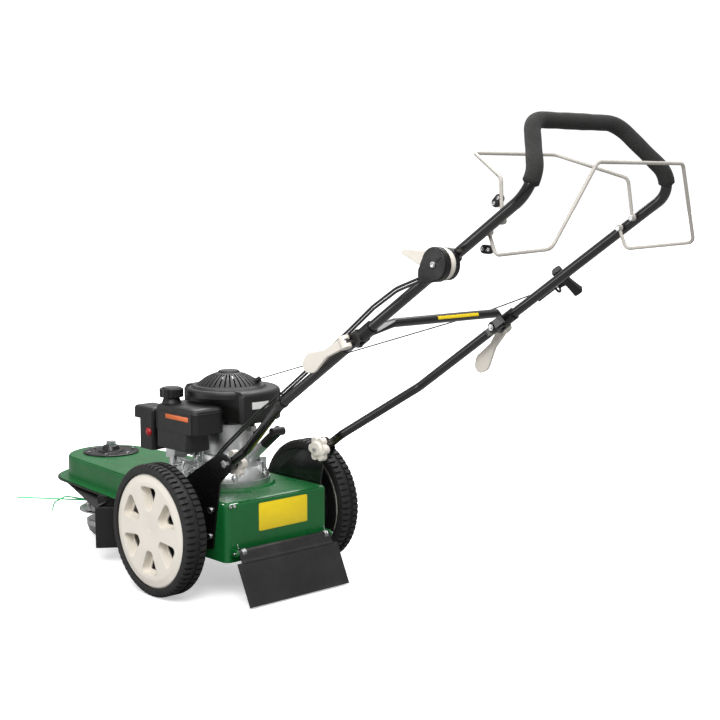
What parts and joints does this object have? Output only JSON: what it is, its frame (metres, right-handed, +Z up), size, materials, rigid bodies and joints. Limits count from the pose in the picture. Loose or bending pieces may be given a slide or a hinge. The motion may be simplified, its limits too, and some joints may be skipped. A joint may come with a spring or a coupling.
{
  "type": "wheeled string trimmer",
  "caption": "Walk-behind string trimmer with large lugged wheels, a tapered green deck, a vertical-shaft engine, a belt-driven line head and a folding loop handle with bails.",
  "frame": {"origin": "on the ground under the axis of the string head, in the middle of the glide cup's flat foot", "axes": "+X forward, from the operator to the nose; +Y to the machine's left; +Z up"},
  "size_m": [1.9451, 0.5299, 1.0583],
  "materials": {
    "green_paint": "gloss",
    "black_paint": "gloss",
    "black_plastic": "satin",
    "engine_plastic": "satin",
    "cream_plastic": "satin",
    "bail_coating": "satin",
    "steel": "satin",
    "cast_alloy": "cast",
    "cast_iron": "dull",
    "tyre_rubber": "matte",
    "flap_rubber": "matte",
    "foam": "matte",
    "red_rubber": "satin",
    "green_line": "satin",
    "rope": "woven",
    "cable_jacket": "satin"
  },
  "bodies": {
    "chassis": {"deck": "green_paint", "belly_plate": "steel", "front_guard": "black_plastic", "spindle_cover": "cast_alloy", "spindle_bearings": "steel", "deck_bolts": "steel", "drive_belt": "tyre_rubber", "side_brackets": "black_paint", "axle": "steel", "gearbox": "cast_alloy", "dust_covers": "black_plastic", "flap_rod": "steel", "handle_studs": "steel", "crankcase": "cast_alloy", "cylinder_head": "cast_alloy", "blower_shroud": "engine_plastic", "recoil_housing": "engine_plastic", "fuel_tank": "engine_plastic", "filter_box": "black_plastic", "carburettor": "cast_alloy", "muffler": "steel", "rope_low": "rope", "cable_low": "cable_jacket"},
    "left_wheel": {"left_tyre": "tyre_rubber", "left_hub": "cream_plastic"},
    "right_wheel": {"right_tyre": "tyre_rubber", "right_hub": "cream_plastic"},
    "flap": {"rear_flap": "flap_rubber"},
    "left_star": {"left_knob": "cream_plastic"},
    "right_star": {"right_knob": "cream_plastic"},
    "lower_frame": {"left_lower_tube": "black_paint", "right_lower_tube": "black_paint", "rope_mid": "rope", "cable_high": "cable_jacket"},
    "upper_frame": {"upper_handle": "black_paint", "foam_grip": "foam", "cross_brace": "black_paint", "fold_collars": "black_plastic", "fold_bolts": "steel", "throttle_housing": "black_plastic", "bail_pivots": "steel", "rope_guide": "steel", "rope_tail": "rope"},
    "left_cam": {"left_cam_lever": "cream_plastic"},
    "right_cam": {"right_cam_lever": "cream_plastic"},
    "throttle": {"throttle_lever": "cream_plastic"},
    "stop_bail": {"opc_bail": "bail_coating"},
    "go_bail": {"drive_bail": "bail_coating"},
    "starter": {"starter_grip": "black_plastic"},
    "crank": {"crankshaft": "steel", "flywheel": "cast_iron", "engine_pulley": "cast_iron"},
    "spindle": {"spindle_shaft": "steel", "spindle_pulley": "cast_iron", "string_head": "steel", "trim_lines": "green_line"},
    "glide": {"glide_cup": "cast_alloy"},
    "tank_cap": {"fuel_cap": "black_plastic"},
    "primer": {"primer_bulb": "red_rubber"},
    "oil_cap": {"dipstick": "black_plastic"}
  },
  "joints": [
    {"name": "left_wheel_roll", "type": "hinge", "parent": "chassis", "child": "left_wheel", "pos_m": [-0.55, 0.2275, 0.1525], "axis": [0, 1, 0], "continuous": true},
    {"name": "right_wheel_roll", "type": "hinge", "parent": "chassis", "child": "right_wheel", "pos_m": [-0.55, -0.2275, 0.1525], "axis": [0, 1, 0], "continuous": true},
    {"name": "flap_swing", "type": "hinge", "parent": "chassis", "child": "flap", "pos_m": [-0.722, 0, 0.113], "axis": [0, 1, 0], "range_deg": [0, 70]},
    {"name": "handle_tilt", "type": "hinge", "parent": "chassis", "child": "lower_frame", "pos_m": [-0.706, 0, 0.316], "axis": [0, 1, 0], "range_deg": [-8, 8], "deforming": ["rope_low", "cable_low"]},
    {"name": "left_star_turn", "type": "hinge", "parent": "chassis", "child": "left_star", "pos_m": [-0.706, 0.119, 0.316], "axis": [0, 1, 0], "continuous": true},
    {"name": "right_star_turn", "type": "hinge", "parent": "chassis", "child": "right_star", "pos_m": [-0.706, -0.119, 0.316], "axis": [0, 1, 0], "continuous": true},
    {"name": "handle_fold", "type": "hinge", "parent": "lower_frame", "child": "upper_frame", "pos_m": [-1.1841, 0, 0.63365], "axis": [0, 1, 0], "range_deg": [0, 130], "deforming": ["rope_mid", "cable_high"]},
    {"name": "left_cam_flip", "type": "hinge", "parent": "upper_frame", "child": "left_cam", "pos_m": [-1.1841, 0.228, 0.63365], "axis": [0.454, 0, 0.891], "range_deg": [0, 100]},
    {"name": "right_cam_flip", "type": "hinge", "parent": "upper_frame", "child": "right_cam", "pos_m": [-1.1841, -0.228, 0.63365], "axis": [-0.7986, 0, -0.6018], "range_deg": [0, 100]},
    {"name": "throttle_turn", "type": "hinge", "parent": "upper_frame", "child": "throttle", "pos_m": [-1.43618, 0.2285, 0.79273], "axis": [0, 1, 0], "range_deg": [-25, 40]},
    {"name": "stop_bail_swing", "type": "hinge", "parent": "upper_frame", "child": "stop_bail", "pos_m": [-1.53892, 0, 0.86939], "axis": [0, 1, 0], "range_deg": [-38, 0], "stiffness_Nm_per_rad": 0.6, "springref_deg": 20.05},
    {"name": "go_bail_swing", "type": "hinge", "parent": "upper_frame", "child": "go_bail", "pos_m": [-1.50894, 0, 0.84947], "axis": [0, 1, 0], "range_deg": [0, 36], "stiffness_Nm_per_rad": 0.6, "springref_deg": -20.05},
    {"name": "starter_pull", "type": "slide", "parent": "upper_frame", "child": "starter", "axis": [-0.8147, -0.2079, 0.5413], "range_m": [0, 0.45], "deforming": ["rope_tail"]},
    {"name": "crank_turn", "type": "hinge", "parent": "chassis", "child": "crank", "pos_m": [-0.52, 0, 0.3], "axis": [0, 0, 1], "continuous": true},
    {"name": "spindle_turn", "type": "hinge", "parent": "chassis", "child": "spindle", "pos_m": [0, 0, 0.2], "axis": [0, 0, 1], "continuous": true},
    {"name": "glide_turn", "type": "hinge", "parent": "spindle", "child": "glide", "pos_m": [0, 0, 0.04], "axis": [0, 0, 1], "continuous": true},
    {"name": "tank_cap_turn", "type": "hinge", "parent": "chassis", "child": "tank_cap", "pos_m": [-0.461, 0.124, 0.44], "axis": [0, 0, 1], "range_deg": [0, 90]},
    {"name": "primer_press", "type": "slide", "parent": "chassis", "child": "primer", "axis": [0, -1, 0], "range_m": [0, 0.004], "stiffness_N_per_m": 300, "springref_m": -0.002},
    {"name": "oil_cap_turn", "type": "hinge", "parent": "chassis", "child": "oil_cap", "pos_m": [-0.64, -0.012, 0.333], "axis": [-0.7897, -0.0208, 0.6131], "range_deg": [0, 90]}
  ],
  "couplings": [
    {"joint": "spindle_turn", "follows": "crank_turn", "ratio": 0.8}
  ]
}
